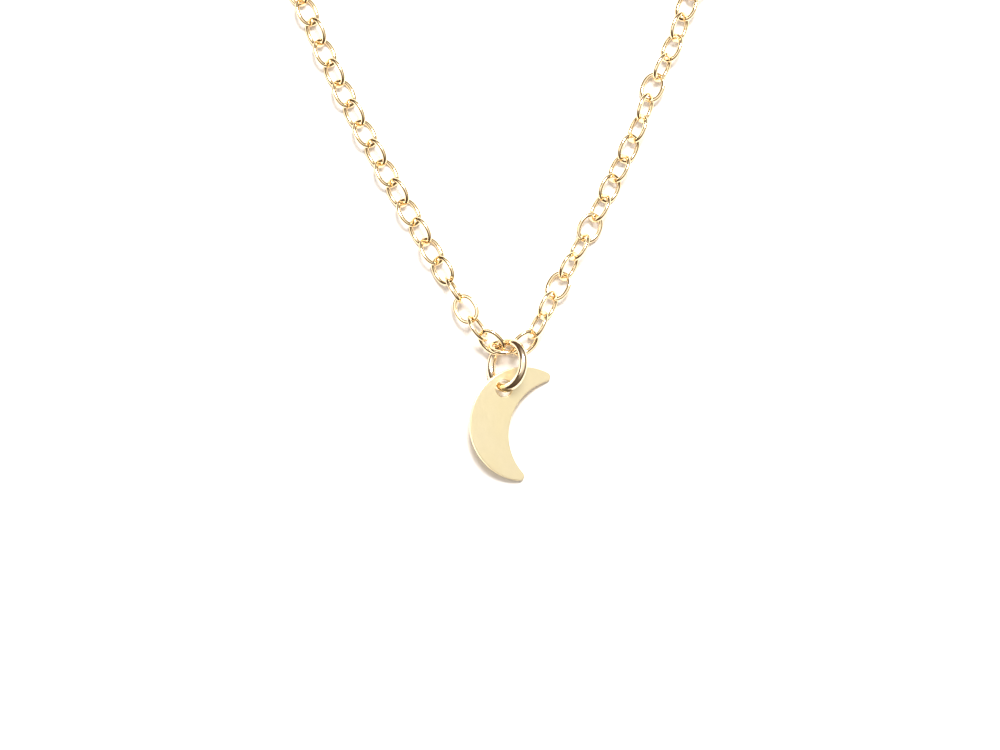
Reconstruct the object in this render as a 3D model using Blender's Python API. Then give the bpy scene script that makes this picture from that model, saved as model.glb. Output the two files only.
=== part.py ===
"""Pendant necklace: a crescent charm on a heavy jump ring, hung from an oval-link chain.

The necklace lies open on a flat surface, as on a jeweller's tray. The chain makes a V that
opens towards +Y, the charm lies at the bottom of the V, towards -Y, and the far ends of the
chain are put away in flat folds. One ends in a spring-ring clasp and the other in the ring that
the clasp hooks. Everything is in metres, +Z is up and the surface is at z = 0. The
origin is the middle of the charm and the open part of the chain.
"""

import math

import bmesh
import bpy
from mathutils import Matrix, Vector

MM = 0.001

# One chain link: an oval of round wire, given by the centre line of the wire
LINK_HALF_LENGTH = 1.24 * MM
LINK_HALF_WIDTH = 0.96 * MM
LINK_WIRE = 0.19 * MM
LINK_POWER = 2.2  # 2 is an ellipse, more is squarer
LINK_STEPS = 12
LINK_SIDES = 6
LEFT_PITCH = 2.07 * MM  # from one link's centre to the next
RIGHT_PITCH = 2.02 * MM
MOST_STEP_UP = 0.2 * MM  # between the centres of two neighbours

# The heavy ring that carries the charm
RING_RADIUS = 2.1 * MM
RING_WIRE = 0.4 * MM
RING_STEPS = 24
RING_SIDES = 8

# The crescent: between an outer and an inner circle, with round tips and one hole
MOON_OUTER = 5.17 * MM
MOON_INNER = 5.02 * MM
MOON_OFFSET = 3.65 * MM
MOON_TIP = 0.42 * MM
MOON_THICK = 0.45 * MM
MOON_HOLE = 0.8 * MM
MOON_HOLE_AT = Vector((-2.74, 2.59, 0)) * MM
MOON_STEPS = 22
TIP_STEPS = 4

# Where the pieces at the bottom of the V lie: x, y, z in mm, then heading, pitch and roll in
# degrees. The chain runs along +X of a link before it is turned.
CENTRE_LINK = (0.35, 2.3, 1.4, -1, -2, -53)
LEFT_LINK_1 = (-0.75, 2.7, 1.95, 137, 13, -42)
LEFT_LINK_2 = (-2.0, 4.0, 1.75, 124, 2, 62)
RIGHT_LINK_1 = (2.25, 2.75, 0.95, 40, 3, 44)
JUMP_RING = (0.65, 0.6, 1.92, -1, 46, -3)
MOON = (0.31, -1.47, 1.56, -14.7, -19.5, 0)  # the middle of its hole

# The two strands, in mm on the surface, and each link's roll in degrees
LEFT_ROUTE = ((-3.1, 5.75), (-5.2, 9.35), (-9.35, 16.55), (-13.3, 23.8), (-16.0, 29.4), (-18.0, 34.1))
LEFT_ROLLS = (-20, 76, -42, 35, -47, 35, -46, 34, -48, 35, -47, 34, -48, 36, -47, 34)
LEFT_LIFT = (1.5, 1.3)
RIGHT_ROUTE = ((3.45, 4.35), (5.2, 7.75), (9.1, 15.1), (12.5, 22.3), (13.8, 25.9), (15.7, 29.9),
               (17.4, 34.7))
RIGHT_ROLLS = (-60, 57, -20, 60, -58, 20, -52, 42, -46, 44, -52, 60, -20, 62, -44, 54, -36)
RIGHT_LIFT = (1.05,)

# The stored ends of the chain: each runs up and down in folds, from a lead that leaves its strand
CHAIN_WIDTH = 2.1 * MM
CHAIN_LIFT = 0.02 * MM
FOLD_RUNS = 4
FOLD_RADIUS = 2.6 * MM  # of the turns between runs
FOLD_LOW = 39.5 * MM
FOLD_HIGH = 72 * MM
FOLD_STEPS = 8  # per turn
LEFT_LEAD = ((-18.0, 34.1), (-19.4, 36.0), (-21.3, 37.6), (-22.8, 39.4), (-23.2, 41.5))
RIGHT_LEAD = ((17.4, 34.7), (18.9, 36.3), (20.9, 37.8), (22.4, 39.6), (22.8, 41.5))
LEFT_END = 44.4 * MM
RIGHT_END = 40.8 * MM
GAP = 0.3 * MM
LEAD_SKIP = 8  # of the lead's points, for its tube

# The charm and the open part of the chain, with every link
OPEN_PIECES = ("crescent", "jump_ring")
SHARP_ANGLE = 50  # a sharper edge than this is shaded as a corner

# The spring-ring clasp, in its own plane: angles run round its middle, and its eye is at 180
CLASP_RADIUS = 2.2 * MM
CLASP_TUBE = 0.55 * MM
CLASP_BORE = 0.4 * MM
CLASP_GAP = (20, 65)
CLASP_BORE_END = 300
CLASP_POCKET = 5
CLASP_SLOT = (86, 150)
CLASP_SLOT_WIDTH = 0.5 * MM
CLASP_EYE_AT = 3.5 * MM
CLASP_EYE_RADIUS = 0.7 * MM
CLASP_EYE_WIRE = 0.18 * MM
CLASP_HEIGHT = 0.75 * MM
CLASP_TILT = 4
CLASP_REACH = 5.96 * MM  # from the chain's end to the clasp's middle
BOLT_WIRE = 0.32 * MM
BOLT_ARC = (10, 110)
TRIGGER_AT = 94
TRIGGER_WIRE = 0.17 * MM
TRIGGER_REACH = (2.3 * MM, 3.15 * MM)
SPRING_RADIUS = 0.27 * MM
SPRING_WIRE = 0.07 * MM
SPRING_ARC = (113, 296)
SPRING_TURNS = 10
SPRING_STEPS = 6  # per turn
CLASP_RING_RADIUS = 1.0 * MM
CLASP_RING_WIRE = 0.2 * MM
END_RING_RADIUS = 1.9 * MM
END_RING_WIRE = 0.35 * MM


def material(name, colour, roughness):
    made = bpy.data.materials.new(name)
    made.use_nodes = True
    shader = made.node_tree.nodes["Principled BSDF"]
    shader.inputs["Base Color"].default_value = (*colour, 1)
    shader.inputs["Roughness"].default_value = roughness
    shader.inputs["Metallic"].default_value = 1
    made.diffuse_color = (*colour, 1)
    return made


def add(name, mesh, finish, matrix):
    """A new object that shows this mesh, smooth except at its sharp corners."""
    mesh.shade_smooth()
    mesh.set_sharp_from_angle(angle=math.radians(SHARP_ANGLE))
    piece = bpy.data.objects.new(name, mesh)
    if not mesh.materials:
        mesh.materials.append(finish)
    bpy.context.scene.collection.objects.link(piece)
    piece.matrix_world = matrix
    return piece


def add_cutter(name, mesh, matrix):
    piece = bpy.data.objects.new(name, mesh)
    bpy.context.scene.collection.objects.link(piece)
    piece.matrix_world = matrix
    piece.hide_render = True
    piece.display_type = "WIRE"
    return piece


def combine(piece, other, operation):
    step = piece.modifiers.new(operation.title(), "BOOLEAN")
    step.operation = operation
    step.solver = "EXACT"
    step.object = other


def sweep(name, path, radius, sides, closed, normals):
    """Mesh of a round section along a path. normals are the section's second axis."""
    shape = bmesh.new()
    turns = [math.tau * k / sides for k in range(sides)]
    loops = []
    for i, point in enumerate(path):
        ahead = path[(i + 1) % len(path)] if closed or i + 1 < len(path) else point
        behind = path[i - 1] if closed or i else point
        along = (ahead - behind).normalized()
        out = along.cross(normals[i]).normalized()
        up = out.cross(along)
        round_it = [radius * (out * math.cos(t) + up * math.sin(t)) for t in turns]
        loops.append([shape.verts.new(point + offset) for offset in round_it])
    pairs = list(zip(loops, loops[1:]))
    if closed:
        pairs.append((loops[-1], loops[0]))
    for first, second in pairs:
        for k in range(sides):
            j = (k + 1) % sides
            shape.faces.new((first[k], first[j], second[j], second[k]))
    if not closed:
        shape.faces.new(loops[0])
        shape.faces.new(reversed(loops[-1]))
    bmesh.ops.recalc_face_normals(shape, faces=shape.faces)
    mesh = bpy.data.meshes.new(name)
    shape.to_mesh(mesh)
    shape.free()
    return mesh


def round_ring(name, radius, wire, steps, sides, middle=Vector()):
    turns = [math.tau * k / steps for k in range(steps)]
    path = [middle + radius * Vector((math.cos(t), math.sin(t), 0)) for t in turns]
    return sweep(name, path, wire, sides, True, [Vector((0, 0, 1))] * steps)


def arc_tube(name, radius, wire, start, end, steps, sides):
    turns = [math.radians(start + (end - start) * k / steps) for k in range(steps + 1)]
    path = [radius * Vector((math.cos(t), math.sin(t), 0)) for t in turns]
    return sweep(name, path, wire, sides, False, [Vector((0, 0, 1))] * len(path))


def signed_power(value, power):
    return math.copysign(abs(value) ** power, value)


def link_mesh(name, middle):
    """An oval link in its XY plane, long along X, with its middle at this X."""
    path = []
    for k in range(LINK_STEPS):
        turn = math.tau * (k + 0.5) / LINK_STEPS
        x = LINK_HALF_LENGTH * signed_power(math.cos(turn), 2 / LINK_POWER)
        y = LINK_HALF_WIDTH * signed_power(math.sin(turn), 2 / LINK_POWER)
        path.append(Vector((middle + x, y, 0)))
    return sweep(name, path, LINK_WIRE, LINK_SIDES, True, [Vector((0, 0, 1))] * LINK_STEPS)


def turned(heading, pitch, roll):
    """Rotation that first rolls about X, then lifts +X by the pitch, then heads it."""
    rotation = Matrix.Rotation(math.radians(heading), 4, "Z")
    rotation @= Matrix.Rotation(math.radians(-pitch), 4, "Y")
    return rotation @ Matrix.Rotation(math.radians(roll), 4, "X")


def placed(pose):
    return Matrix.Translation(Vector(pose[:3]) * MM) @ turned(*pose[3:])


def smooth_curve(points, steps=24):
    """Points along a smooth curve through these, as vectors."""
    points = [Vector(p) for p in points]
    ends = [2 * points[0] - points[1], *points, 2 * points[-1] - points[-2]]
    curve = []
    for a, b, c, d in zip(ends, ends[1:], ends[2:], ends[3:]):
        for k in range(steps):
            t = k / steps
            curve.append(0.5 * (2 * b + (c - a) * t + (2 * a - 5 * b + 4 * c - d) * t**2
                                + (3 * b - a - 3 * c + d) * t**3))
    return [*curve, points[-1]]


def along_curve(curve, step, count):
    """This many points, a step apart along the curve, from its first."""
    found = [curve[0]]
    travelled = 0
    for a, b in zip(curve, curve[1:]):
        length = (b - a).length
        while length > 0 and travelled + length >= step * len(found) and len(found) < count:
            found.append(a.lerp(b, (step * len(found) - travelled) / length))
        travelled += length
    while len(found) < count:
        found.append(2 * found[-1] - found[-2])
    return found


def heights(rolls, first, lift):
    """How high each link's middle lies: on the surface, or held up a little by its neighbours."""
    lowest = [LINK_HALF_WIDTH / MM * abs(math.sin(math.radians(r))) + LINK_WIRE / MM for r in rolls]
    lowest = [max(z, lift[i]) if i < len(lift) else z for i, z in enumerate(lowest)]
    step = MOST_STEP_UP / MM
    for i in range(1, len(lowest)):
        lowest[i] = max(lowest[i], lowest[i - 1] - step)
    for i in reversed(range(len(lowest) - 1)):
        lowest[i] = max(lowest[i], lowest[i + 1] - step)
    return [first, *lowest]


def add_strand(side, route, rolls, pitch, first_height, lift, number):
    """The links of one strand that lie along its route. Each one's origin is its hinge."""
    reach = pitch - LINK_HALF_LENGTH
    mesh = link_mesh(side + "_link", reach)
    route = [Vector(p) * MM for p in route]
    middles = along_curve(smooth_curve(route), pitch, len(rolls) + 1)
    levels = heights(rolls, first_height, lift)
    levels.append(levels[-1])
    for i, roll in enumerate(rolls):
        back = middles[i - 1] if i else 2 * middles[0] - middles[1]
        forward = middles[i + 1] - back
        heading = math.degrees(math.atan2(forward.y, forward.x))
        slope = math.degrees(math.atan2(levels[i + 2] - levels[i], 2 * pitch / MM))
        x, y = middles[i] / MM
        pose = (x, y, levels[i + 1], heading, slope, roll)
        matrix = placed(pose) @ Matrix.Translation((-reach, 0, 0))
        add(f"{side}_link_{i + number:02}", mesh, chain_gold, matrix)
    return mesh


def add_cluster(left_mesh, right_mesh):
    """The links, ring and charm at the bottom of the V."""
    add("centre_link", link_mesh("centre_link", 0), chain_gold, placed(CENTRE_LINK))
    left_reach = LEFT_PITCH - LINK_HALF_LENGTH
    right_reach = RIGHT_PITCH - LINK_HALF_LENGTH
    for i, pose in enumerate((LEFT_LINK_1, LEFT_LINK_2)):
        matrix = placed(pose) @ Matrix.Translation((-left_reach, 0, 0))
        add(f"left_link_{i + 1:02}", left_mesh, chain_gold, matrix)
    matrix = placed(RIGHT_LINK_1) @ Matrix.Translation((-right_reach, 0, 0))
    add("right_link_01", right_mesh, chain_gold, matrix)
    ring = round_ring("jump_ring", RING_RADIUS, RING_WIRE, RING_STEPS, RING_SIDES)
    add("jump_ring", ring, ring_gold, placed(JUMP_RING))


def crescent_sides():
    """The outer and the inner edge, from one tip round to the other, point facing point."""
    outer, inner = MOON_OUTER - MOON_TIP, MOON_INNER + MOON_TIP
    x = (MOON_OFFSET**2 + outer**2 - inner**2) / (2 * MOON_OFFSET)
    tip = Vector((x, math.sqrt(outer**2 - x**2), 0))
    outer_end = math.atan2(tip.y, tip.x)
    inner_end = math.atan2(tip.y, tip.x - MOON_OFFSET)
    apex = (outer_end + inner_end - math.pi) / 2
    half = outer_end - apex
    edges = ([], [])
    for k in range(TIP_STEPS):
        spread = half * (k + 0.5) / TIP_STEPS
        for edge, sign in zip(edges, (1, -1)):
            turn = apex + sign * spread
            edge.append(tip + MOON_TIP * Vector((math.cos(turn), math.sin(turn), 0)))
    for k in range(MOON_STEPS + 1):
        turn = outer_end + (math.tau - 2 * outer_end) * k / MOON_STEPS
        edges[0].append(MOON_OUTER * Vector((math.cos(turn), math.sin(turn), 0)))
        turn = inner_end + (math.tau - 2 * inner_end) * k / MOON_STEPS
        circle = MOON_INNER * Vector((math.cos(turn), math.sin(turn), 0))
        edges[1].append(circle + Vector((MOON_OFFSET, 0, 0)))
    for edge in edges:
        for k in reversed(range(TIP_STEPS)):
            edge.append(Vector((edge[k].x, -edge[k].y, 0)))
    return edges


def add_moon():
    shape = bmesh.new()
    levels = (MOON_THICK / 2, -MOON_THICK / 2)
    rows = [[[shape.verts.new(p - MOON_HOLE_AT + Vector((0, 0, z))) for p in edge]
             for edge in crescent_sides()] for z in levels]
    for outer, inner in rows:
        for k in range(len(outer) - 1):
            shape.faces.new((outer[k], outer[k + 1], inner[k + 1], inner[k]))
    for top, bottom in zip(*rows):
        for k in range(len(top) - 1):
            shape.faces.new((top[k], top[k + 1], bottom[k + 1], bottom[k]))
    (outer_top, inner_top), (outer_low, inner_low) = rows
    for k in (0, -1):
        shape.faces.new((outer_top[k], inner_top[k], inner_low[k], outer_low[k]))
    bmesh.ops.recalc_face_normals(shape, faces=shape.faces)
    mesh = bpy.data.meshes.new("crescent")
    shape.to_mesh(mesh)
    shape.free()
    moon = add("crescent", mesh, moon_gold, placed(MOON))
    drill = bmesh.new()
    bmesh.ops.create_cone(drill, cap_ends=True, segments=24, radius1=MOON_HOLE, radius2=MOON_HOLE,
                          depth=4 * MOON_THICK)
    cutter = bpy.data.meshes.new("hole")
    drill.to_mesh(cutter)
    drill.free()
    combine(moon, add_cutter("hole_cutter", cutter, placed(MOON)), "DIFFERENCE")


def stored_route(lead, hand, end):
    """The unseen chain's route: its lead, then the corners and turns of its folds.

    hand is 1 where the folds follow each other towards +X, and -1 where they are mirrored. end is
    where the last run stops.
    """
    curve = smooth_curve([Vector((x, y, 0)) * MM for x, y in lead])
    folds = []
    x = curve[-1].x
    for run in range(FOLD_RUNS - 1):
        y, out = (FOLD_LOW, -1) if run % 2 else (FOLD_HIGH, 1)
        hub = Vector((x + hand * FOLD_RADIUS, y, 0))
        for k in range(FOLD_STEPS + 1):
            turn = math.pi * k / FOLD_STEPS
            side = Vector((-hand * math.cos(turn), out * math.sin(turn), 0))
            folds.append(hub + FOLD_RADIUS * side)
        x += 2 * hand * FOLD_RADIUS
    folds.append(Vector((x, end, 0)))
    rise = Vector((0, 0, CHAIN_WIDTH / 2 + CHAIN_LIFT))
    return [[p + rise for p in part] for part in (curve, folds)]


def add_tube(name, path):
    line = bpy.data.curves.new(name, "CURVE")
    line.dimensions = "3D"
    line.bevel_depth = CHAIN_WIDTH / 2
    line.bevel_resolution = 2
    line.use_fill_caps = True
    spline = line.splines.new("POLY")
    spline.points.add(len(path) - 1)
    for point, place in zip(spline.points, path):
        point.co = (*place, 1)
    line.materials.append(chain_gold)
    tube = bpy.data.objects.new(name, line)
    bpy.context.scene.collection.objects.link(tube)


def add_stored_chain(side, lead, hand, end):
    """A strand's unseen end, as a tube. Returns the chain's end and its heading."""
    curve, folds = stored_route(lead, hand, end)
    first = [p for p in curve[::LEAD_SKIP] if (p - curve[0]).length > GAP]
    add_tube(f"{side}_chain_folds", first + folds)
    ahead = (folds[-1] - folds[-2]).normalized()
    return folds[-1], math.degrees(math.atan2(ahead.y, ahead.x))


def add_clasp(end, heading):
    """The spring-ring clasp and the small ring that joins it to the chain."""
    rotation = turned(heading, -CLASP_TILT, 0)
    ahead = Matrix.Rotation(math.radians(heading), 4, "Z") @ Vector((1, 0, 0))
    middle = Vector((end.x, end.y, CLASP_HEIGHT)) + CLASP_REACH * ahead
    clasp = Matrix.Translation(middle) @ rotation
    gap_start, gap_end = CLASP_GAP
    tube = arc_tube("clasp_body", CLASP_RADIUS, CLASP_TUBE, gap_end, gap_start + 360, 24, 8)
    body = add("clasp_body", tube, clasp_gold, clasp)
    eye = round_ring("eye", CLASP_EYE_RADIUS, CLASP_EYE_WIRE, 14, 6, Vector((-CLASP_EYE_AT, 0, 0)))
    bore = arc_tube("bore", CLASP_RADIUS, CLASP_BORE, gap_end - 5, CLASP_BORE_END, 20, 8)
    pocket = arc_tube("pocket", CLASP_RADIUS, CLASP_BORE, CLASP_POCKET, gap_start + 5, 3, 8)
    slot = arc_tube("slot", CLASP_RADIUS + CLASP_TUBE, CLASP_SLOT_WIDTH / 2, *CLASP_SLOT, 6, 6)
    combine(body, add_cutter("eye_shape", eye, clasp), "UNION")
    combine(body, add_cutter("bore_cutter", bore, clasp), "DIFFERENCE")
    combine(body, add_cutter("pocket_cutter", pocket, clasp), "DIFFERENCE")
    combine(body, add_cutter("slot_cutter", slot, clasp), "DIFFERENCE")
    pin = arc_tube("clasp_bolt", CLASP_RADIUS, BOLT_WIRE, *BOLT_ARC, 10, 8)
    bolt = add("clasp_bolt", pin, clasp_gold, clasp)
    turn = math.radians(TRIGGER_AT)
    out = Vector((math.cos(turn), math.sin(turn), 0))
    stem = [out * r for r in TRIGGER_REACH]
    knob = sweep("trigger", stem, TRIGGER_WIRE, 8, False, [Vector((0, 0, 1))] * 2)
    combine(bolt, add_cutter("trigger_shape", knob, clasp), "UNION")
    add("clasp_spring", spring_mesh(), spring_steel, clasp)
    eye_height = CLASP_HEIGHT + CLASP_EYE_AT * math.sin(math.radians(CLASP_TILT))
    ring_height = CLASP_RING_RADIUS + CLASP_RING_WIRE
    drop = ring_height - eye_height
    back = CLASP_EYE_AT + math.sqrt(CLASP_RING_RADIUS**2 - drop**2)
    ring_middle = Vector((middle.x, middle.y, ring_height)) - back * ahead
    ring = round_ring("clasp_jump_ring", CLASP_RING_RADIUS, CLASP_RING_WIRE, 14, 6)
    add("clasp_jump_ring", ring, chain_gold, Matrix.Translation(ring_middle) @ turned(heading, 0, 90))


def spring_mesh():
    """The clasp's coil spring, bent round in its bore."""
    start, end = SPRING_ARC
    count = SPRING_TURNS * SPRING_STEPS
    path, normals = [], []
    for k in range(count + 1):
        turn = math.radians(start + (end - start) * k / count)
        twist = math.tau * k / SPRING_STEPS
        out = Vector((math.cos(turn), math.sin(turn), 0))
        around = out * math.cos(twist) + Vector((0, 0, 1)) * math.sin(twist)
        path.append(CLASP_RADIUS * out + SPRING_RADIUS * around)
        normals.append(around)
    return sweep("clasp_spring", path, SPRING_WIRE, 4, False, normals)


def add_end_ring(end, heading):
    """The closed ring on the other end, tipped up where the last link goes through it."""
    rise = CHAIN_WIDTH / 2 - END_RING_WIRE
    tilt = math.degrees(math.asin(rise / (2 * END_RING_RADIUS)))
    ahead = Matrix.Rotation(math.radians(heading), 4, "Z") @ Vector((1, 0, 0))
    reach = GAP + END_RING_WIRE + END_RING_RADIUS
    middle = Vector((end.x, end.y, END_RING_WIRE + rise / 2)) + reach * ahead
    ring = round_ring("end_ring", END_RING_RADIUS, END_RING_WIRE, 20, 6)
    add("end_ring", ring, chain_gold, Matrix.Translation(middle) @ turned(heading, -tilt, 0))


def centre_on_origin():
    """Moves everything so that the open part of the necklace has its middle over the origin."""
    bpy.context.view_layer.update()
    seen = [o for o in bpy.data.objects if "_link" in o.name or o.name in OPEN_PIECES]
    places = [o.matrix_world @ v.co for o in seen for v in o.data.vertices]
    low = Vector([min(p[i] for p in places) for i in range(3)])
    high = Vector([max(p[i] for p in places) for i in range(3)])
    shift = Matrix.Translation((-(low.x + high.x) / 2, -(low.y + high.y) / 2, 0))
    for piece in bpy.data.objects:
        piece.matrix_world = shift @ piece.matrix_world


for old in list(bpy.data.objects):
    bpy.data.objects.remove(old, do_unlink=True)

chain_gold = material("chain_gold", (0.93, 0.78, 0.53), 0.12)
ring_gold = material("ring_gold", (0.9, 0.74, 0.5), 0.1)
moon_gold = material("moon_gold", (0.96, 0.84, 0.6), 0.35)
clasp_gold = material("clasp_gold", (0.93, 0.76, 0.48), 0.15)
spring_steel = material("spring_steel", (0.7, 0.7, 0.68), 0.3)

left_mesh = add_strand("left", LEFT_ROUTE, LEFT_ROLLS, LEFT_PITCH, LEFT_LINK_2[2], LEFT_LIFT, 3)
right_mesh = add_strand("right", RIGHT_ROUTE, RIGHT_ROLLS, RIGHT_PITCH, RIGHT_LINK_1[2], RIGHT_LIFT,
                        2)
add_cluster(left_mesh, right_mesh)
add_moon()
add_clasp(*add_stored_chain("left", LEFT_LEAD, 1, LEFT_END))
add_end_ring(*add_stored_chain("right", RIGHT_LEAD, -1, RIGHT_END))
centre_on_origin()
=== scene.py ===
"""Looks of the pendant necklace: polished oval links, a heavy jump ring, a satin crescent and a
spring-ring clasp, lying on a white surface. Everything is in metres, in the frame's own axes."""

import math

import bmesh
import bpy
import numpy as np
from mathutils import Matrix, Vector


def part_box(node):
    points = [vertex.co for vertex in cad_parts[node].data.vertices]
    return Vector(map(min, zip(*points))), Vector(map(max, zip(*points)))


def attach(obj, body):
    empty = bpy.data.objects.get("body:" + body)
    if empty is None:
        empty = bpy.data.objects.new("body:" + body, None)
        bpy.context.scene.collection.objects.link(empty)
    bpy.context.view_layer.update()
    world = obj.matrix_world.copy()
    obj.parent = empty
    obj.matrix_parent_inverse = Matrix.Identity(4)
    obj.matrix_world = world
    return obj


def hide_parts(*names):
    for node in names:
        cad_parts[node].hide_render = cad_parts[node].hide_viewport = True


MM = 0.001

# Chain link: an oval of slightly flattened wire, as in part.py
LINK_HALF_LENGTH = 1.24 * MM
LINK_HALF_WIDTH = 0.96 * MM
LINK_POWER = 2.2
WIRE_ACROSS = 0.195 * MM  # in the link's plane
WIRE_THICK = 0.18 * MM
FLAT_POWER = 2.5  # of the wire's section: 2 is round

# Jump ring and crescent
RING_RADIUS = 2.1 * MM
RING_WIRE = 0.4 * MM
MOON_OUTER = 5.17 * MM
MOON_INNER = 5.02 * MM
MOON_OFFSET = 3.65 * MM
MOON_TIP = 0.42 * MM
MOON_THICK = 0.45 * MM
MOON_HOLE = 0.8 * MM
MOON_HOLE_AT = Vector((-2.74, 2.59, 0)) * MM
MOON_EDGE = 0.06 * MM  # the radius its edges are rounded to

# The stored ends of the chain, as in part.py
CHAIN_WIDTH = 2.1 * MM
CHAIN_PITCH = 2.05 * MM
CHAIN_ROLL = 45
FOLD_RUNS = 4
FOLD_RADIUS = 2.6 * MM
FOLD_LOW = 39.5 * MM
FOLD_HIGH = 72 * MM
LEFT_LEAD = ((-18.0, 34.1), (-19.4, 36.0), (-21.3, 37.6), (-22.8, 39.4), (-23.2, 41.5))
RIGHT_LEAD = ((17.4, 34.7), (18.9, 36.3), (20.9, 37.8), (22.4, 39.6), (22.8, 41.5))
LEFT_END = 44.4 * MM
RIGHT_END = 40.8 * MM
LEFT_REACH = -0.3 * MM  # from each end to the last link's middle
RIGHT_REACH = -0.02 * MM
STRAND_LINKS = 18

# The clasp, as in part.py: angles run round its middle, and its eye is at 180
CLASP_RADIUS = 2.2 * MM
CLASP_TUBE = 0.55 * MM
CLASP_GAP = (20, 65)
CLASP_BORE = 0.4 * MM
CLASP_BORE_END = 300
CLASP_POCKET = 5
CLASP_SLOT = (86, 150)
CLASP_SLOT_WIDTH = 0.5 * MM
CLASP_EYE_AT = 3.5 * MM
CLASP_EYE_RADIUS = 0.7 * MM
CLASP_EYE_WIRE = 0.18 * MM
CLASP_HEIGHT = 0.75 * MM
CLASP_TILT = 4
CLASP_REACH = 5.96 * MM  # from the chain's end to the clasp's middle
BOLT_WIRE = 0.32 * MM
BOLT_ARC = (10, 110)
TRIGGER_AT = 94
TRIGGER_WIRE = 0.17 * MM
TRIGGER_REACH = (2.3 * MM, 3.15 * MM)
SPRING_RADIUS = 0.27 * MM
SPRING_WIRE = 0.07 * MM
SPRING_ARC = (113, 296)
SPRING_TURNS = 10
CLASP_RING_RADIUS = 1.0 * MM
CLASP_RING_WIRE = 0.2 * MM
END_RING_RADIUS = 1.9 * MM
END_RING_WIRE = 0.35 * MM

# Where the ring and the charm lie, as in part.py: x, y, z in mm, then heading, pitch and roll
JUMP_RING = (0.65, 0.6, 1.92, -1, 46, -3)
MOON = (0.31, -1.47, 1.56, -14.7, -19.5, 0)

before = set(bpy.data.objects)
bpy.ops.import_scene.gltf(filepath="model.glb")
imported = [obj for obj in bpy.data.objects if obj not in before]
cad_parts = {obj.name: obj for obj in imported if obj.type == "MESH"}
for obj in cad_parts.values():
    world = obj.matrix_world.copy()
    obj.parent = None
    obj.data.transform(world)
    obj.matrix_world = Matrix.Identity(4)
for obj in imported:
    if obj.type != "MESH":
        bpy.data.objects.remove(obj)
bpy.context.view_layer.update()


# ---------------------------------------------------------------- materials


class Nodes:
    """A material under construction, with short ways to add and join its nodes."""

    def __init__(self, name):
        self.material = bpy.data.materials.new(name)
        self.material.use_nodes = True
        self.tree = self.material.node_tree
        self.shader = self.tree.nodes["Principled BSDF"]

    def add(self, kind, values=None, **settings):
        node = self.tree.nodes.new(kind)
        for key, value in settings.items():
            setattr(node, key, value)
        for key, value in (values or {}).items():
            node.inputs[key].default_value = value
        return node

    def join(self, source, target):
        self.tree.links.new(source, target)


def gold(name, colour, warm, roughness, grain, bump):
    """Polished or satin gold: its colour drifts slightly, and fine wear varies its roughness."""
    made = Nodes(name)
    shader = made.shader
    shader.inputs["Metallic"].default_value = 1
    place = made.add("ShaderNodeTexCoord").outputs["Object"]
    drift = made.add("ShaderNodeTexNoise", {"Scale": 260, "Detail": 3})
    made.join(place, drift.inputs["Vector"])
    tint = made.add("ShaderNodeMix", data_type="RGBA")
    tint.inputs["A"].default_value = (*colour, 1)
    tint.inputs["B"].default_value = (*warm, 1)
    made.join(drift.outputs["Fac"], tint.inputs["Factor"])
    made.join(tint.outputs["Result"], shader.inputs["Base Color"])
    wear = made.add("ShaderNodeTexNoise", {"Scale": grain, "Detail": 4})
    made.join(place, wear.inputs["Vector"])
    rough = made.add("ShaderNodeMapRange", {"To Min": roughness * 0.7, "To Max": roughness * 1.3})
    made.join(wear.outputs["Fac"], rough.inputs["Value"])
    made.join(rough.outputs["Result"], shader.inputs["Roughness"])
    relief = made.add("ShaderNodeBump", {"Strength": bump, "Distance": 0.00001})
    made.join(wear.outputs["Fac"], relief.inputs["Height"])
    made.join(relief.outputs["Normal"], shader.inputs["Normal"])
    return made.material


link_gold = gold("link_gold", (0.97, 0.79, 0.52), (0.96, 0.75, 0.45), 0.09, 2600, 0.12)
ring_gold = gold("ring_gold", (0.96, 0.79, 0.57), (0.95, 0.76, 0.52), 0.09, 2200, 0.08)
moon_gold = gold("moon_gold", (0.93, 0.815, 0.56), (0.93, 0.8, 0.46), 0.34, 5200, 0.25)
clasp_gold = gold("clasp_gold", (0.97, 0.82, 0.55), (0.95, 0.78, 0.48), 0.12, 2400, 0.12)
spring_steel = gold("spring_steel", (0.7, 0.7, 0.68), (0.6, 0.6, 0.6), 0.25, 3000, 0.2)


# ---------------------------------------------------------------- shapes


def mesh_object(name, shape, finish, matrix=None):
    mesh = bpy.data.meshes.new(name)
    shape.to_mesh(mesh)
    shape.free()
    mesh.shade_smooth()
    mesh.materials.append(finish)
    piece = bpy.data.objects.new(name, mesh)
    bpy.context.scene.collection.objects.link(piece)
    if matrix is not None:
        piece.matrix_world = matrix
    return piece


def signed_power(value, power):
    return math.copysign(abs(value) ** power, value)


def oval(count, half_length, half_width, power):
    """Points round a superellipse, evenly turned."""
    turns = [math.tau * k / count for k in range(count)]
    return [Vector((half_length * signed_power(math.cos(t), 2 / power),
                    half_width * signed_power(math.sin(t), 2 / power), 0)) for t in turns]


def even_loop(path, count):
    """The same closed loop with its points evenly spaced."""
    closed = [*path, path[0]]
    lengths = [0]
    for a, b in zip(closed, closed[1:]):
        lengths.append(lengths[-1] + (b - a).length)
    found = []
    i = 0
    for k in range(count):
        wanted = lengths[-1] * k / count
        while lengths[i + 1] < wanted:
            i += 1
        share = (wanted - lengths[i]) / (lengths[i + 1] - lengths[i])
        found.append(closed[i].lerp(closed[i + 1], share))
    return found


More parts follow.
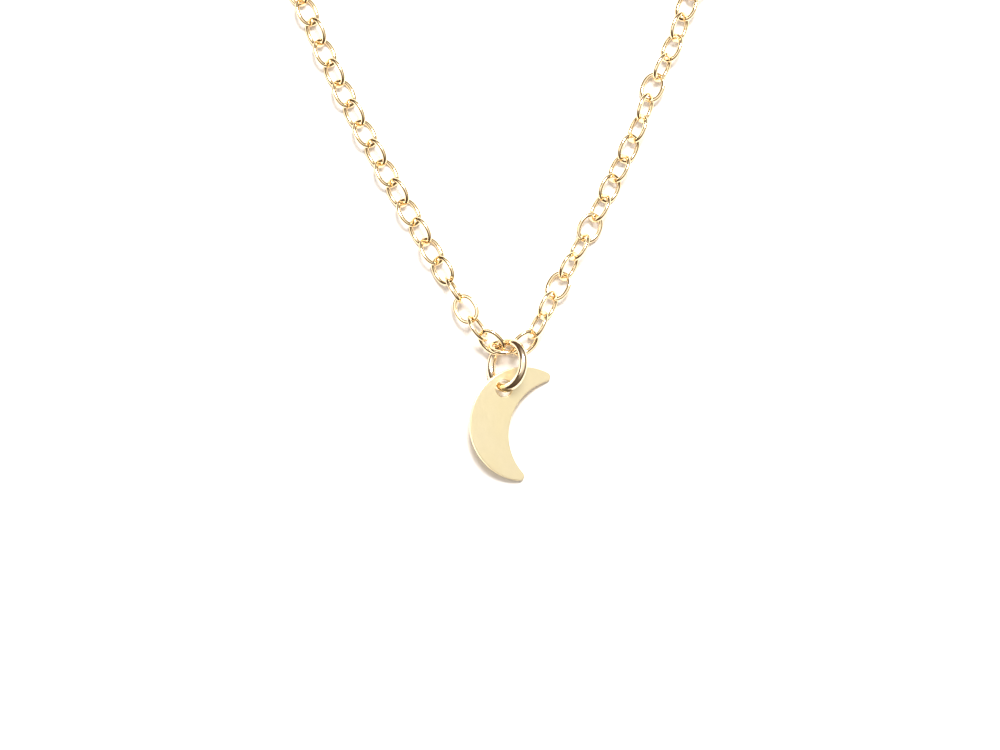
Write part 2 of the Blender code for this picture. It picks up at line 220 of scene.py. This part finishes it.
def add_sweep(shape, path, section, closed, turn=None):
    """Adds a section swept along a path to a bmesh. The section is across and up, and up is +Z
    before turn, a matrix, places every point."""
    loops = []
    count = len(path)
    for i, point in enumerate(path):
        ahead = path[(i + 1) % count] if closed or i + 1 < count else point
        behind = path[i - 1] if closed or i else point
        along = (ahead - behind).normalized()
        out = along.cross(Vector((0, 0, 1))).normalized()
        up = out.cross(along)
        ring = [point + out * x + up * z for x, z in section]
        loops.append([shape.verts.new(turn @ p if turn else p) for p in ring])
    pairs = list(zip(loops, loops[1:]))
    if closed:
        pairs.append((loops[-1], loops[0]))
    sides = len(section)
    for first, second in pairs:
        for k in range(sides):
            j = (k + 1) % sides
            shape.faces.new((first[k], first[j], second[j], second[k]))
    if not closed:
        shape.faces.new(reversed(loops[0]))
        shape.faces.new(loops[-1])
    return loops


def wire_section(across, thick, power, sides):
    return [(p.x, p.y) for p in oval(sides, across, thick, power)]


def link_path(steps):
    fine = oval(480, LINK_HALF_LENGTH, LINK_HALF_WIDTH, LINK_POWER)
    return even_loop(fine, steps)


def link_shape(steps, sides):
    shape = bmesh.new()
    add_sweep(shape, link_path(steps), wire_section(WIRE_ACROSS, WIRE_THICK, FLAT_POWER, sides), True)
    bmesh.ops.recalc_face_normals(shape, faces=shape.faces)
    return shape


def cad_points(node):
    """A CAD node's different vertices."""
    points = np.array([v.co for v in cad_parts[node].data.vertices], float)
    return np.unique(points.round(8), axis=0)


def lying(node):
    """Where a link or ring lies, from its CAD node: a matrix whose X is its long axis and whose
    Z is square to its plane."""
    points = cad_points(node)
    middle = points.mean(0)
    _, _, axes = np.linalg.svd(points - middle, full_matrices=False)
    low, high = ((points - middle) @ axes.T).min(0), ((points - middle) @ axes.T).max(0)
    middle = middle + (low + high) / 2 @ axes
    along, across = Vector(axes[0]), Vector(axes[1])
    up = along.cross(across)
    matrix = Matrix((along, across, up)).transposed().to_4x4()
    matrix.translation = Vector(middle)
    return matrix


# ---------------------------------------------------------------- the unseen ends of the chain


def smooth_curve(points, steps=24):
    ends = [2 * points[0] - points[1], *points, 2 * points[-1] - points[-2]]
    curve = []
    for a, b, c, d in zip(ends, ends[1:], ends[2:], ends[3:]):
        for k in range(steps):
            t = k / steps
            curve.append(0.5 * (2 * b + (c - a) * t + (2 * a - 5 * b + 4 * c - d) * t**2
                                + (3 * b - a - 3 * c + d) * t**3))
    return [*curve, points[-1]]


def stored_route(lead, hand, end, node):
    """The unseen chain's route from its lead through its folds to its end, in the row frame."""
    route = smooth_curve([Vector((x, y, 0)) * MM for x, y in lead])
    x = route[-1].x
    steps = 24
    for run in range(FOLD_RUNS - 1):
        y, out = (FOLD_LOW, -1) if run % 2 else (FOLD_HIGH, 1)
        hub = Vector((x + hand * FOLD_RADIUS, y, 0))
        for k in range(steps + 1):
            turn = math.pi * k / steps
            side = Vector((-hand * math.cos(turn), out * math.sin(turn), 0))
            route.append(hub + FOLD_RADIUS * side)
        x += 2 * hand * FOLD_RADIUS
    route.append(Vector((x, end, 0)))
    low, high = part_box(node)
    top = FOLD_HIGH + FOLD_RADIUS + CHAIN_WIDTH / 2
    edge = abs(x - hand * (2 * (FOLD_RUNS - 1)) * FOLD_RADIUS) + CHAIN_WIDTH / 2
    shift = Vector((low.x + edge if hand > 0 else high.x - edge, high.y - top, 0))
    height = LINK_HALF_WIDTH * math.sin(math.radians(CHAIN_ROLL)) + WIRE_THICK
    return [Vector((p.x + shift.x, p.y + shift.y, height)) for p in route]


def walked(route):
    """How far along each point of a route is."""
    far = [0]
    for a, b in zip(route, route[1:]):
        far.append(far[-1] + (b - a).length)
    return far


def point_at(route, far, wanted):
    """The point this far along a route, and its heading. It runs on straight past both ends."""
    i = min(max(int(np.searchsorted(far, wanted)) - 1, 0), len(route) - 2)
    a, b = route[i], route[i + 1]
    ahead = (b - a).normalized()
    return a + ahead * (wanted - far[i]), math.atan2(ahead.y, ahead.x)


def stored_chain(side, lead, hand, end, reach):
    """The unseen chain of one side as real links, each through the next.

    reach is how far the last link's middle lies past the route's end.
    """
    node = side + "_chain_folds"
    route = stored_route(lead, hand, end, node)
    far = walked(route)
    last_seen = lying(f"{side}_link_{STRAND_LINKS}").translation
    gap = Vector((last_seen.x - route[0].x, last_seen.y - route[0].y, 0))
    first = CHAIN_PITCH - gap.length
    count = round((far[-1] + reach - first) / CHAIN_PITCH)
    pitch = (far[-1] + reach - first) / count
    shape = bmesh.new()
    steps, sides = 24, 8
    path = link_path(steps)
    section = wire_section(WIRE_ACROSS, WIRE_THICK, FLAT_POWER, sides)
    for k in range(count + 1):
        middle, heading = point_at(route, far, first + pitch * k)
        sign = 1 if k % 2 else -1
        turn = Matrix.Translation(middle) @ Matrix.Rotation(heading, 4, "Z")
        turn @= Matrix.Rotation(math.radians(sign * CHAIN_ROLL), 4, "X")
        add_sweep(shape, path, section, True, turn)
    bmesh.ops.recalc_face_normals(shape, faces=shape.faces)
    piece = mesh_object(side + "_stored_chain", shape, link_gold)
    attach(piece, f"{side}_link_{STRAND_LINKS}")
    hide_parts(node)
    return piece, route, far[-1]


left_chain, left_route, left_length = stored_chain("left", LEFT_LEAD, 1, LEFT_END, LEFT_REACH)
right_chain, right_route, right_length = stored_chain("right", RIGHT_LEAD, -1, RIGHT_END, RIGHT_REACH)


# ---------------------------------------------------------------- the open part of the chain


def open_chain():
    """Every link that is a CAD node of its own."""
    mesh = None
    for node in sorted(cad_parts):
        if not (node.startswith(("left_link", "right_link")) or node == "centre_link"):
            continue
        if mesh is None:
            piece = mesh_object("fine_" + node, link_shape(56, 16), link_gold, lying(node))
            mesh = piece.data
        else:
            piece = bpy.data.objects.new("fine_" + node, mesh)
            bpy.context.scene.collection.objects.link(piece)
            piece.matrix_world = lying(node)
        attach(piece, node)
        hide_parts(node)


open_chain()


# ---------------------------------------------------------------- jump ring and crescent


def circle(radius, count):
    return [radius * Vector((math.cos(math.tau * k / count), math.sin(math.tau * k / count), 0))
            for k in range(count)]


def add_ring(node, radius, wire, steps, sides, finish):
    shape = bmesh.new()
    add_sweep(shape, circle(radius, steps), wire_section(wire, wire, 2, sides), True)
    bmesh.ops.recalc_face_normals(shape, faces=shape.faces)
    piece = mesh_object("fine_" + node, shape, finish, lying(node))
    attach(piece, node)
    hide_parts(node)
    return piece


add_ring("jump_ring", RING_RADIUS, RING_WIRE, 128, 32, ring_gold)
end_ring = add_ring("end_ring", END_RING_RADIUS, END_RING_WIRE, 96, 24, link_gold)
clasp_ring = add_ring("clasp_jump_ring", CLASP_RING_RADIUS, CLASP_RING_WIRE, 64, 16, link_gold)


def turned(heading, pitch, roll):
    rotation = Matrix.Rotation(math.radians(heading), 4, "Z")
    rotation @= Matrix.Rotation(math.radians(-pitch), 4, "Y")
    return rotation @ Matrix.Rotation(math.radians(roll), 4, "X")


def placed(pose):
    """A pose of part.py in the row frame, which is moved sideways from part.py's own."""
    low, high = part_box("jump_ring")
    shift = (low + high) / 2 - Vector(JUMP_RING[:3]) * MM
    shift.z = 0
    return Matrix.Translation(Vector(pose[:3]) * MM + shift) @ turned(*pose[3:])


def crescent_outline(arc_steps=96, tip_steps=12):
    """The charm's outline as one loop, round its own outer circle's middle."""
    outer, inner = MOON_OUTER - MOON_TIP, MOON_INNER + MOON_TIP
    x = (MOON_OFFSET**2 + outer**2 - inner**2) / (2 * MOON_OFFSET)
    tip = Vector((x, math.sqrt(outer**2 - x**2), 0))
    outer_end = math.atan2(tip.y, tip.x)
    inner_end = math.atan2(tip.y, tip.x - MOON_OFFSET)
    loop = []
    for k in range(arc_steps + 1):
        turn = outer_end + (math.tau - 2 * outer_end) * k / arc_steps
        loop.append(MOON_OUTER * Vector((math.cos(turn), math.sin(turn), 0)))
    low_tip = Vector((tip.x, -tip.y, 0))
    round_tip = outer_end - inner_end + math.pi
    for k in range(1, tip_steps):
        turn = -outer_end + round_tip * k / tip_steps
        loop.append(low_tip + MOON_TIP * Vector((math.cos(turn), math.sin(turn), 0)))
    centre = Vector((MOON_OFFSET, 0, 0))
    for k in range(arc_steps + 1):
        turn = -inner_end - (math.tau - 2 * inner_end) * k / arc_steps
        loop.append(centre + MOON_INNER * Vector((math.cos(turn), math.sin(turn), 0)))
    for k in range(1, tip_steps):
        turn = inner_end - math.pi + round_tip * k / tip_steps
        loop.append(tip + MOON_TIP * Vector((math.cos(turn), math.sin(turn), 0)))
    return loop


def evaluated_mesh(piece):
    graph = bpy.context.evaluated_depsgraph_get()
    return bpy.data.meshes.new_from_object(piece.evaluated_get(graph))


def add_plate(name, loops, thickness, edge, finish, matrix):
    """A flat plate inside the first loop and outside the others, with rounded edges."""
    line = bpy.data.curves.new(name, "CURVE")
    line.dimensions = "2D"
    line.fill_mode = "BOTH"
    line.extrude = thickness / 2 - edge
    line.bevel_depth = edge
    line.bevel_resolution = 3
    line.offset = -edge
    for loop in loops:
        spline = line.splines.new("POLY")
        spline.points.add(len(loop) - 1)
        for point, place in zip(spline.points, loop):
            point.co = (*place, 1)
        spline.use_cyclic_u = True
    shell = bpy.data.objects.new(name + "_curve", line)
    bpy.context.scene.collection.objects.link(shell)
    mesh = evaluated_mesh(shell)
    bpy.data.objects.remove(shell, do_unlink=True)
    bpy.data.curves.remove(line)
    mesh.name = name
    shape = bmesh.new()
    shape.from_mesh(mesh)
    bmesh.ops.remove_doubles(shape, verts=shape.verts, dist=0.000002)
    bmesh.ops.recalc_face_normals(shape, faces=shape.faces)
    for face in shape.faces:
        face.smooth = abs(face.normal.z) < 0.999
    shape.to_mesh(mesh)
    shape.free()
    mesh.materials.clear()
    mesh.materials.append(finish)
    piece = bpy.data.objects.new(name, mesh)
    bpy.context.scene.collection.objects.link(piece)
    piece.matrix_world = matrix
    return piece


def add_crescent():
    outline = [p - MOON_HOLE_AT for p in crescent_outline()]
    loops = (outline, circle(MOON_HOLE, 72))
    piece = add_plate("fine_crescent", loops, MOON_THICK, MOON_EDGE, moon_gold, placed(MOON))
    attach(piece, "crescent")
    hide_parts("crescent")


def arc_path(radius, start, end, steps):
    turns = [math.radians(start + (end - start) * k / steps) for k in range(steps + 1)]
    return [radius * Vector((math.cos(t), math.sin(t), 0)) for t in turns]


def tube_object(name, path, wire, sides, closed=False, finish=None):
    shape = bmesh.new()
    add_sweep(shape, path, wire_section(wire, wire, 2, sides), closed)
    bmesh.ops.recalc_face_normals(shape, faces=shape.faces)
    return mesh_object(name, shape, finish or clasp_gold)


def shaped(piece, *steps):
    """Joins or cuts the piece by the other shapes, which are used up."""
    for other, operation in steps:
        step = piece.modifiers.new(operation.title(), "BOOLEAN")
        step.operation = operation
        step.solver = "EXACT"
        step.object = other
    bpy.context.view_layer.update()
    mesh = evaluated_mesh(piece)
    piece.modifiers.clear()
    piece.data = mesh
    mesh.shade_smooth()
    mesh.set_sharp_from_angle(angle=math.radians(40))
    for other, _ in steps:
        bpy.data.objects.remove(other, do_unlink=True)


def spring_path(steps=24):
    path = []
    count = SPRING_TURNS * steps
    for k in range(count + 1):
        turn = math.radians(SPRING_ARC[0] + (SPRING_ARC[1] - SPRING_ARC[0]) * k / count)
        twist = math.tau * k / steps
        side = Vector((math.cos(turn), math.sin(turn), 0))
        around = side * math.cos(twist) + Vector((0, 0, 1)) * math.sin(twist)
        path.append(CLASP_RADIUS * side + SPRING_RADIUS * around)
    return path


def add_clasp(end, ahead):
    """The clasp's tube, bolt and spring, CLASP_REACH past the chain's end."""
    heading = math.degrees(math.atan2(ahead.y, ahead.x))
    middle = Vector((end.x, end.y, CLASP_HEIGHT)) + CLASP_REACH * ahead
    place = Matrix.Translation(middle) @ turned(heading, -CLASP_TILT, 0)
    start, stop = CLASP_GAP
    body = tube_object("fine_clasp_body", arc_path(CLASP_RADIUS, stop, start + 360, 96), CLASP_TUBE, 28)
    eye_path = [p - Vector((CLASP_EYE_AT, 0, 0)) for p in circle(CLASP_EYE_RADIUS, 48)]
    eye = tube_object("eye", eye_path, CLASP_EYE_WIRE, 16, True)
    bore = tube_object("bore", arc_path(CLASP_RADIUS, stop - 5, CLASP_BORE_END, 80), CLASP_BORE, 24)
    pocket = tube_object("pocket", arc_path(CLASP_RADIUS, CLASP_POCKET, start + 5, 8), CLASP_BORE, 24)
    slot_path = arc_path(CLASP_RADIUS + CLASP_TUBE, *CLASP_SLOT, 24)
    slot = tube_object("slot", slot_path, CLASP_SLOT_WIDTH / 2, 16)
    shaped(body, (eye, "UNION"), (bore, "DIFFERENCE"), (pocket, "DIFFERENCE"), (slot, "DIFFERENCE"))
    bolt = tube_object("fine_clasp_bolt", arc_path(CLASP_RADIUS, *BOLT_ARC, 40), BOLT_WIRE, 24)
    turn = math.radians(TRIGGER_AT)
    out = Vector((math.cos(turn), math.sin(turn), 0))
    knob = tube_object("knob", [out * r for r in TRIGGER_REACH], TRIGGER_WIRE, 20)
    shaped(bolt, (knob, "UNION"))
    spring = tube_object("fine_clasp_spring", spring_path(), SPRING_WIRE, 10, False, spring_steel)
    pieces = ((body, "clasp_body", "clasp", "clasp_gold"),
              (bolt, "clasp_bolt", "clasp_bolt", "clasp_gold"),
              (spring, "clasp_spring", "clasp", "spring_steel"))
    for piece, node, host, slot_name in pieces:
        piece.matrix_world = place
        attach(piece, host)
        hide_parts(node)
    return [piece for piece, *_ in pieces]


add_crescent()
clasp_heading = (left_route[-1] - left_route[-2]).normalized()
clasp_pieces = add_clasp(left_route[-1], clasp_heading)


# ---------------------------------------------------------------- floor, light and camera

RING_IN_PICTURE = Vector((0.65, 0.7, 0)) * MM  # from the middle of the picture
PICTURE_WIDTH = 90.9 * MM
CAMERA_DISTANCE = 0.6
CAMERA_LEAN = 6  # degrees from straight down, towards -Y
SENSOR = 36


def add_floor():
    shape = bmesh.new()
    bmesh.ops.create_grid(shape, x_segments=1, y_segments=1, size=3)
    white = Nodes("floor_white")
    white.shader.inputs["Base Color"].default_value = (0.95, 0.91, 0.87, 1)
    white.shader.inputs["Roughness"].default_value = 0.9
    floor = mesh_object("floor", shape, white.material)


def add_area(name, place, size, power):
    """A square light that faces the frame's origin."""
    data = bpy.data.lights.new(name, "AREA")
    data.size = size
    data.energy = power
    light = bpy.data.objects.new(name, data)
    bpy.context.scene.collection.objects.link(light)
    light.location = place
    light.rotation_euler = (-Vector(place)).to_track_quat("-Z", "Y").to_euler()


SKY_MIDDLE = Vector((0.14, 0.18, 0.97)).normalized()
SKY = (  # degrees from its middle, then the colour there
    (0, (1.4, 1.4, 1.4)),
    (24, (1.15, 1.14, 1.13)),
    (42, (0.5, 0.47, 0.44)),
    (58, (0.17, 0.13, 0.1)),
    (90, (0.08, 0.06, 0.045)),
)


def add_world():
    """A bright window overhead that falls off to dark walls: polished metal shows dark lines."""
    world = bpy.data.worlds.new("studio")
    bpy.context.scene.world = world
    world.use_nodes = True
    tree = world.node_tree
    place = tree.nodes.new("ShaderNodeTexCoord")
    facing = tree.nodes.new("ShaderNodeVectorMath")
    facing.operation = "DOT_PRODUCT"
    facing.inputs[1].default_value = SKY_MIDDLE
    angle = tree.nodes.new("ShaderNodeMath")
    angle.operation = "ARCCOSINE"
    share = tree.nodes.new("ShaderNodeMath")
    share.operation = "DIVIDE"
    share.inputs[1].default_value = math.pi / 2
    ramp = tree.nodes.new("ShaderNodeValToRGB")
    tree.links.new(place.outputs["Generated"], facing.inputs[0])
    tree.links.new(facing.outputs["Value"], angle.inputs[0])
    tree.links.new(angle.outputs["Value"], share.inputs[0])
    tree.links.new(share.outputs["Value"], ramp.inputs["Fac"])
    tree.links.new(ramp.outputs["Color"], tree.nodes["Background"].inputs["Color"])
    stops = ramp.color_ramp.elements
    while len(stops) < len(SKY):
        stops.new(0.5)
    for stop, (degrees, colour) in zip(stops, SKY):
        stop.position = degrees / 90
        stop.color = (*colour, 1)


def add_camera(aim):
    data = bpy.data.cameras.new("camera")
    data.sensor_width = SENSOR
    data.lens = SENSOR * CAMERA_DISTANCE / PICTURE_WIDTH
    data.clip_start = 0.01
    camera = bpy.data.objects.new("camera", data)
    bpy.context.scene.collection.objects.link(camera)
    lean = math.radians(CAMERA_LEAN)
    camera.location = aim + CAMERA_DISTANCE * Vector((0, -math.sin(lean), math.cos(lean)))
    camera.rotation_euler = (lean, 0, 0)
    bpy.context.scene.camera = camera


add_floor()
ring_low, ring_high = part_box("jump_ring")
picture_middle = (ring_low + ring_high) / 2 - RING_IN_PICTURE
picture_middle.z = 0
add_world()
add_area("key", place=(0.08, 0.31, 0.68), size=0.26, power=8.5)
add_area("panel", place=(-0.5, 0.05, 0.62), size=0.4, power=0.85)
add_camera(picture_middle)
bpy.context.scene.view_settings.view_transform = "Standard"
